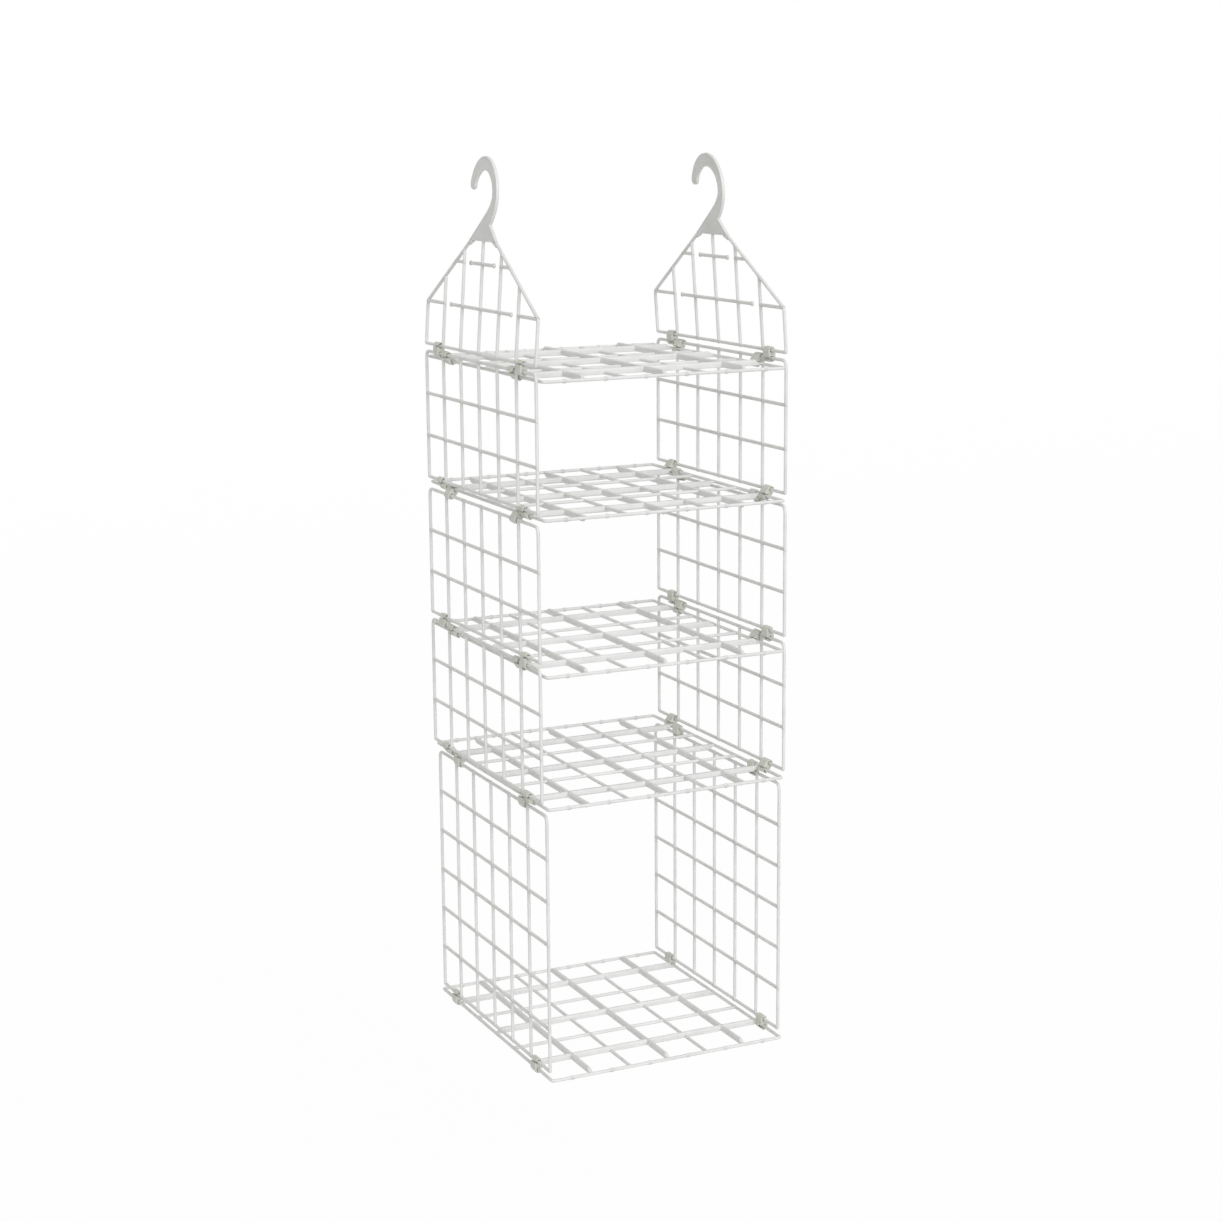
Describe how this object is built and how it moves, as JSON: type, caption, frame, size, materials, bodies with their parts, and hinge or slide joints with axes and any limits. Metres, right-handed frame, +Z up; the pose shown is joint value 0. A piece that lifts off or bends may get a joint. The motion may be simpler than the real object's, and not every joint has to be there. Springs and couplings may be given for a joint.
{
  "type": "hanging closet organizer",
  "caption": "Hanging open-grid closet organizer: shelves clipped between hinged side grids, hung from a closet rod by two house-shaped grids with hooks.",
  "frame": {"origin": "on top of the closet rod, midway between the saddles of the two hooks", "axes": "+X along the closet rod towards the right side grids, +Y from the front to the rear, +Z up"},
  "size_m": [0.3202, 0.3408, 1.047],
  "materials": {
    "white_polypropylene": "satin"
  },
  "bodies": {
    "hanger_left": {"hanger_left": "white_polypropylene"},
    "hanger_right": {"hanger_right": "white_polypropylene"},
    "shelf_1": {"shelf_1": "white_polypropylene", "clip_1_left_front_upper": "white_polypropylene", "clip_1_left_front_lower": "white_polypropylene", "clip_1_left_rear_upper": "white_polypropylene", "clip_1_left_rear_lower": "white_polypropylene", "clip_1_right_front_upper": "white_polypropylene", "clip_1_right_front_lower": "white_polypropylene", "clip_1_right_rear_upper": "white_polypropylene", "clip_1_right_rear_lower": "white_polypropylene"},
    "side_left_1": {"side_left_1": "white_polypropylene"},
    "side_right_1": {"side_right_1": "white_polypropylene"},
    "shelf_2": {"shelf_2": "white_polypropylene", "clip_2_left_front_upper": "white_polypropylene", "clip_2_left_front_lower": "white_polypropylene", "clip_2_left_rear_upper": "white_polypropylene", "clip_2_left_rear_lower": "white_polypropylene", "clip_2_right_front_upper": "white_polypropylene", "clip_2_right_front_lower": "white_polypropylene", "clip_2_right_rear_upper": "white_polypropylene", "clip_2_right_rear_lower": "white_polypropylene"},
    "side_left_2": {"side_left_2": "white_polypropylene"},
    "side_right_2": {"side_right_2": "white_polypropylene"},
    "shelf_3": {"shelf_3": "white_polypropylene", "clip_3_left_front_upper": "white_polypropylene", "clip_3_left_front_lower": "white_polypropylene", "clip_3_left_rear_upper": "white_polypropylene", "clip_3_left_rear_lower": "white_polypropylene", "clip_3_right_front_upper": "white_polypropylene", "clip_3_right_front_lower": "white_polypropylene", "clip_3_right_rear_upper": "white_polypropylene", "clip_3_right_rear_lower": "white_polypropylene"},
    "side_left_3": {"side_left_3": "white_polypropylene"},
    "side_right_3": {"side_right_3": "white_polypropylene"},
    "shelf_4": {"shelf_4": "white_polypropylene", "clip_4_left_front_upper": "white_polypropylene", "clip_4_left_front_lower": "white_polypropylene", "clip_4_left_rear_upper": "white_polypropylene", "clip_4_left_rear_lower": "white_polypropylene", "clip_4_right_front_upper": "white_polypropylene", "clip_4_right_front_lower": "white_polypropylene", "clip_4_right_rear_upper": "white_polypropylene", "clip_4_right_rear_lower": "white_polypropylene"},
    "side_left_4": {"side_left_4": "white_polypropylene"},
    "side_right_4": {"side_right_4": "white_polypropylene"},
    "shelf_5": {"shelf_5": "white_polypropylene", "clip_5_left_front_upper": "white_polypropylene", "clip_5_left_rear_upper": "white_polypropylene", "clip_5_right_front_upper": "white_polypropylene", "clip_5_right_rear_upper": "white_polypropylene"}
  },
  "joints": [
    {"name": "hanger_left_hinge", "type": "hinge", "parent": "shelf_1", "child": "hanger_left", "pos_m": [-0.1555, -0.004, -0.206], "axis": [0, 1, 0], "range_deg": [-80, 80]},
    {"name": "hanger_right_hinge", "type": "hinge", "parent": "shelf_1", "child": "hanger_right", "pos_m": [0.1555, -0.004, -0.206], "axis": [0, 1, 0], "range_deg": [-80, 80]},
    {"name": "side_left_1_hinge", "type": "hinge", "parent": "shelf_1", "child": "side_left_1", "pos_m": [-0.1555, -0.004, -0.2152], "axis": [0, 1, 0], "range_deg": [-6, 6]},
    {"name": "side_right_1_hinge", "type": "hinge", "parent": "shelf_1", "child": "side_right_1", "pos_m": [0.1555, -0.004, -0.2152], "axis": [0, 1, 0], "range_deg": [-6, 6]},
    {"name": "shelf_2_hinge", "type": "hinge", "parent": "side_left_1", "child": "shelf_2", "pos_m": [-0.1555, -0.004, -0.3676], "axis": [0, 1, 0], "range_deg": [-6, 6]},
    {"name": "side_left_2_hinge", "type": "hinge", "parent": "shelf_2", "child": "side_left_2", "pos_m": [-0.1555, -0.004, -0.38235], "axis": [0, 1, 0], "range_deg": [-80, 80]},
    {"name": "side_right_2_hinge", "type": "hinge", "parent": "shelf_2", "child": "side_right_2", "pos_m": [0.1555, -0.004, -0.38235], "axis": [0, 1, 0], "range_deg": [-80, 80]},
    {"name": "shelf_3_hinge", "type": "hinge", "parent": "side_left_2", "child": "shelf_3", "pos_m": [-0.1555, -0.004, -0.53475], "axis": [0, 1, 0], "range_deg": [-80, 80]},
    {"name": "side_left_3_hinge", "type": "hinge", "parent": "shelf_3", "child": "side_left_3", "pos_m": [-0.1555, -0.004, -0.54395], "axis": [0, 1, 0], "range_deg": [-6, 6]},
    {"name": "side_right_3_hinge", "type": "hinge", "parent": "shelf_3", "child": "side_right_3", "pos_m": [0.1555, -0.004, -0.54395], "axis": [0, 1, 0], "range_deg": [-6, 6]},
    {"name": "shelf_4_hinge", "type": "hinge", "parent": "side_left_3", "child": "shelf_4", "pos_m": [-0.1555, -0.004, -0.69635], "axis": [0, 1, 0], "range_deg": [-6, 6]},
    {"name": "side_left_4_hinge", "type": "hinge", "parent": "shelf_4", "child": "side_left_4", "pos_m": [-0.15, -0.004, -0.71292], "axis": [0, 1, 0], "range_deg": [-80, 80]},
    {"name": "side_right_4_hinge", "type": "hinge", "parent": "shelf_4", "child": "side_right_4", "pos_m": [0.15, -0.004, -0.71292], "axis": [0, 1, 0], "range_deg": [-80, 80]},
    {"name": "shelf_5_hinge", "type": "hinge", "parent": "side_left_4", "child": "shelf_5", "pos_m": [-0.15, -0.004, -1.01772], "axis": [0, 1, 0], "range_deg": [-80, 80]}
  ],
  "couplings": [
    {"joint": "hanger_right_hinge", "follows": "hanger_left_hinge", "ratio": 1},
    {"joint": "side_right_1_hinge", "follows": "side_left_1_hinge", "ratio": 1},
    {"joint": "shelf_2_hinge", "follows": "side_left_1_hinge", "ratio": -1},
    {"joint": "side_right_2_hinge", "follows": "side_left_2_hinge", "ratio": 1},
    {"joint": "shelf_3_hinge", "follows": "side_left_2_hinge", "ratio": -1},
    {"joint": "side_right_3_hinge", "follows": "side_left_3_hinge", "ratio": 1},
    {"joint": "shelf_4_hinge", "follows": "side_left_3_hinge", "ratio": -1},
    {"joint": "side_right_4_hinge", "follows": "side_left_4_hinge", "ratio": 1},
    {"joint": "shelf_5_hinge", "follows": "side_left_4_hinge", "ratio": -1}
  ]
}
